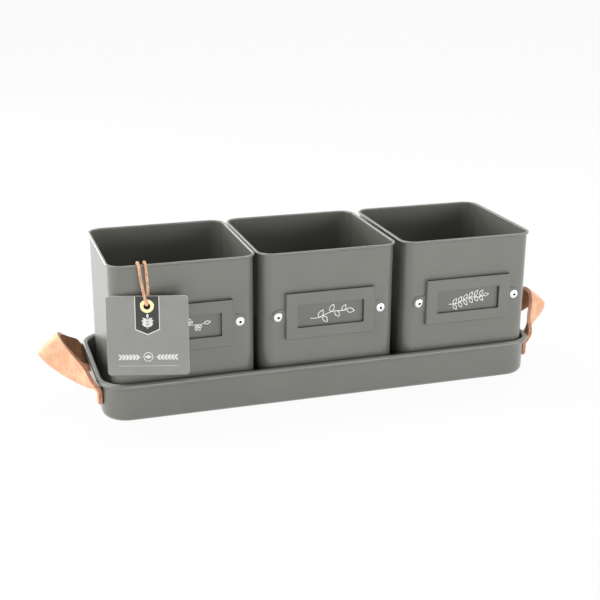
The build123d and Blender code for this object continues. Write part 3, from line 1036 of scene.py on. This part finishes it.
def knot_path():
    """The centre line of a small trefoil knot below the cord's two ends."""
    middle = (Vector(CORD_ROUTE[0]) + Vector(CORD_ROUTE[-1])) / 2 * MM
    middle.z -= KNOT_HEIGHT / 2
    wide, deep, high = KNOT_SIZE
    path = []
    for step in range(KNOT_STEPS + 1):
        t = 2 * math.pi * step / KNOT_STEPS
        x = math.sin(t) + 2 * math.sin(2 * t)
        z = math.cos(t) - 2 * math.cos(2 * t)
        y = -math.sin(3 * t)
        path.append(middle + Vector((wide * x, deep * y, high * z)) * MM)
    return path


class HERB_OT_cord(Operator):
    """Twists the tag's cord along its route and ties its knot"""

    bl_idname = "herb_planter.cord"
    bl_label = "Twist the cord"

    def execute(self, context):
        settings = context.scene.herb_tag
        material = mottled_surface(
            "tan_cord", shades(settings.cord_colour, 1.0, 1.5),
            {"Roughness": 0.6, "Specular IOR Level": 0.4},
            patches=250, grain=2500, dimples=0.3 * MM, swell=0.7, depth=0.06 * MM,
        )
        route = [Vector(point) * MM for point in CORD_ROUTE]
        line = curve_mesh(curve_object("cord_line", [(route, False)]))
        path = [vert.co.copy() for vert in line.vertices]
        bpy.data.meshes.remove(line)
        diameter = settings.cord_diameter
        mesh = strand_mesh("cord_strands", path, diameter, settings.twist)
        cord = new_piece("cord_strands", mesh, [material], "hang_tag")
        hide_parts("tag_cord")
        knot_mesh = strand_mesh("knot_strands", knot_path(), diameter, settings.twist)
        knot = new_piece("knot_strands", knot_mesh, [material], "hang_tag")
        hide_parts("cord_knot")
        return {"FINISHED"}


def white_world(settings):
    """Light from all around, and white where the camera or a reflection sees past the object."""
    world = bpy.data.worlds.new("studio")
    bpy.context.scene.world = world
    world.use_nodes = True
    tree = world.node_tree
    sky = tree.nodes["Background"]
    sky.inputs["Color"].default_value = WHITE
    sky.inputs["Strength"].default_value = settings.sky
    seen = add_node(tree, "ShaderNodeBackground", {"Color": WHITE, "Strength": 1.0})
    rays = add_node(tree, "ShaderNodeLightPath")
    brighter_reflections(tree, rays, seen, MIRRORED_WHITE)
    either = seen_or_mirrored(tree, rays)
    clear = add_node(tree, "ShaderNodeMath", operation="MAXIMUM")
    mix = add_node(tree, "ShaderNodeMixShader")
    tree.links.new(either.outputs[0], clear.inputs[0])
    tree.links.new(rays.outputs["Is Transmission Ray"], clear.inputs[1])
    tree.links.new(clear.outputs[0], mix.inputs[0])
    tree.links.new(sky.outputs[0], mix.inputs[1])
    tree.links.new(seen.outputs[0], mix.inputs[2])
    tree.links.new(mix.outputs[0], tree.nodes["World Output"].inputs["Surface"])


def seen_or_mirrored(tree, rays):
    """A node that is one for camera rays and for reflections."""
    either = add_node(tree, "ShaderNodeMath", operation="MAXIMUM")
    tree.links.new(rays.outputs["Is Camera Ray"], either.inputs[0])
    tree.links.new(rays.outputs["Is Glossy Ray"], either.inputs[1])
    return either


def brighter_reflections(tree, rays, glow, factor):
    """Makes a glow stronger in reflections than to the camera, as an overexposed studio is."""
    strength = add_node(tree, "ShaderNodeMath", {1: factor - 1, 2: 1.0}, operation="MULTIPLY_ADD")
    tree.links.new(rays.outputs["Is Glossy Ray"], strength.inputs[0])
    tree.links.new(strength.outputs[0], glow.inputs["Strength"])


def floor_material():
    """White that matches the background, with a share of real shading left for the shadow."""
    material, tree, shader = surface(
        "studio_floor",
        {"Base Color": FLOOR_COLOUR, "Roughness": 1.0, "Specular IOR Level": 0.0},
    )
    glow = add_node(tree, "ShaderNodeEmission", {"Color": WHITE, "Strength": 1.0})
    rays = add_node(tree, "ShaderNodeLightPath")
    brighter_reflections(tree, rays, glow, MIRRORED_WHITE)
    share = add_node(tree, "ShaderNodeMath", {1: 1 - FLOOR_SHADING}, operation="MULTIPLY")
    mix = add_node(tree, "ShaderNodeMixShader")
    tree.links.new(seen_or_mirrored(tree, rays).outputs[0], share.inputs[0])
    tree.links.new(share.outputs[0], mix.inputs[0])
    tree.links.new(shader.outputs[0], mix.inputs[1])
    tree.links.new(glow.outputs[0], mix.inputs[2])
    tree.links.new(mix.outputs[0], tree.nodes["Material Output"].inputs["Surface"])
    return material


def soft_lamp(name, place, width, height, power):
    """A rectangular studio lamp that points at the object."""
    light = bpy.data.lights.new(name, "AREA")
    light.shape = "RECTANGLE"
    light.size, light.size_y = width, height
    light.energy = power
    lamp = bpy.data.objects.new(name, light)
    bpy.context.scene.collection.objects.link(lamp)
    way = Vector(place) - Vector(LAMP_TARGET)
    lamp.matrix_world = Matrix.Translation(place) @ way.to_track_quat("Z", "Y").to_matrix().to_4x4()


class HERB_OT_stage(Operator):
    """Sets the white floor, the lamps and the photograph's camera"""

    bl_idname = "herb_planter.stage"
    bl_label = "Set the stage"

    def execute(self, context):
        settings = context.scene.herb_stage
        bm = bmesh.new()
        bmesh.ops.create_grid(bm, x_segments=1, y_segments=1, size=FLOOR_HALF)
        bmesh.ops.translate(bm, vec=(0, 0, -FLOOR_DROP), verts=bm.verts[:])
        floor = bpy.data.objects.new("floor", to_mesh(bm, "floor", smooth=False))
        context.scene.collection.objects.link(floor)
        floor.data.materials.append(floor_material())
        white_world(settings)
        for name, place, width, height in LAMPS:
            soft_lamp(name, place, width, height, getattr(settings, f"{name}_power"))
        data = bpy.data.cameras.new("camera")
        data.lens = settings.lens
        data.sensor_width = 36.0
        camera = bpy.data.objects.new("camera", data)
        context.scene.collection.objects.link(camera)
        aim = Matrix.Rotation(CAMERA_TURN, 4, "Z")
        aim = aim @ Matrix.Rotation(math.radians(90) - CAMERA_DOWN, 4, "X")
        aim = aim @ Matrix.Rotation(CAMERA_ROLL, 4, "Z")
        camera.matrix_world = Matrix.Translation(CAMERA_PLACE) @ aim
        context.scene.camera = camera
        context.scene.view_settings.view_transform = "Standard"
        return {"FINISHED"}


class HERB_PT_sidebar(Panel):
    """Lists the steps and their sizes and colours"""

    bl_idname = "HERB_PT_sidebar"
    bl_label = "Herb planter"
    bl_space_type = "VIEW_3D"
    bl_region_type = "UI"
    bl_category = "Herb planter"

    def draw(self, context):
        for step in STEPS:
            self.layout.operator(step.bl_idname)
        for group in SETTINGS:
            column = self.layout.column(heading=group)
            values = getattr(context.scene, group)
            for name in SETTINGS[group].__annotations__:
                column.prop(values, name)


STEPS = (
    HERB_OT_paint,
    HERB_OT_rivets,
    HERB_OT_straps,
    HERB_OT_label_sprigs,
    HERB_OT_tag,
    HERB_OT_cord,
    HERB_OT_stage,
)
SETTINGS = {
    "herb_paint": PaintSettings,
    "herb_leather": LeatherSettings,
    "herb_tag": TagSettings,
    "herb_label": LabelSettings,
    "herb_stage": StageSettings,
}


def register():
    for cls in (*SETTINGS.values(), *STEPS, HERB_PT_sidebar):
        bpy.utils.register_class(cls)
    for name, cls in SETTINGS.items():
        setattr(bpy.types.Scene, name, PointerProperty(type=cls))


def unregister():
    for name in SETTINGS:
        delattr(bpy.types.Scene, name)
    for cls in (HERB_PT_sidebar, *reversed(STEPS), *reversed(SETTINGS.values())):
        bpy.utils.unregister_class(cls)


def main():
    register()
    bpy.ops.herb_planter.paint()
    bpy.ops.herb_planter.rivets()
    bpy.ops.herb_planter.straps()
    bpy.ops.herb_planter.label_sprigs()
    bpy.ops.herb_planter.tag()
    bpy.ops.herb_planter.cord()
    bpy.ops.herb_planter.stage()


if __name__ == "__main__":
    main()
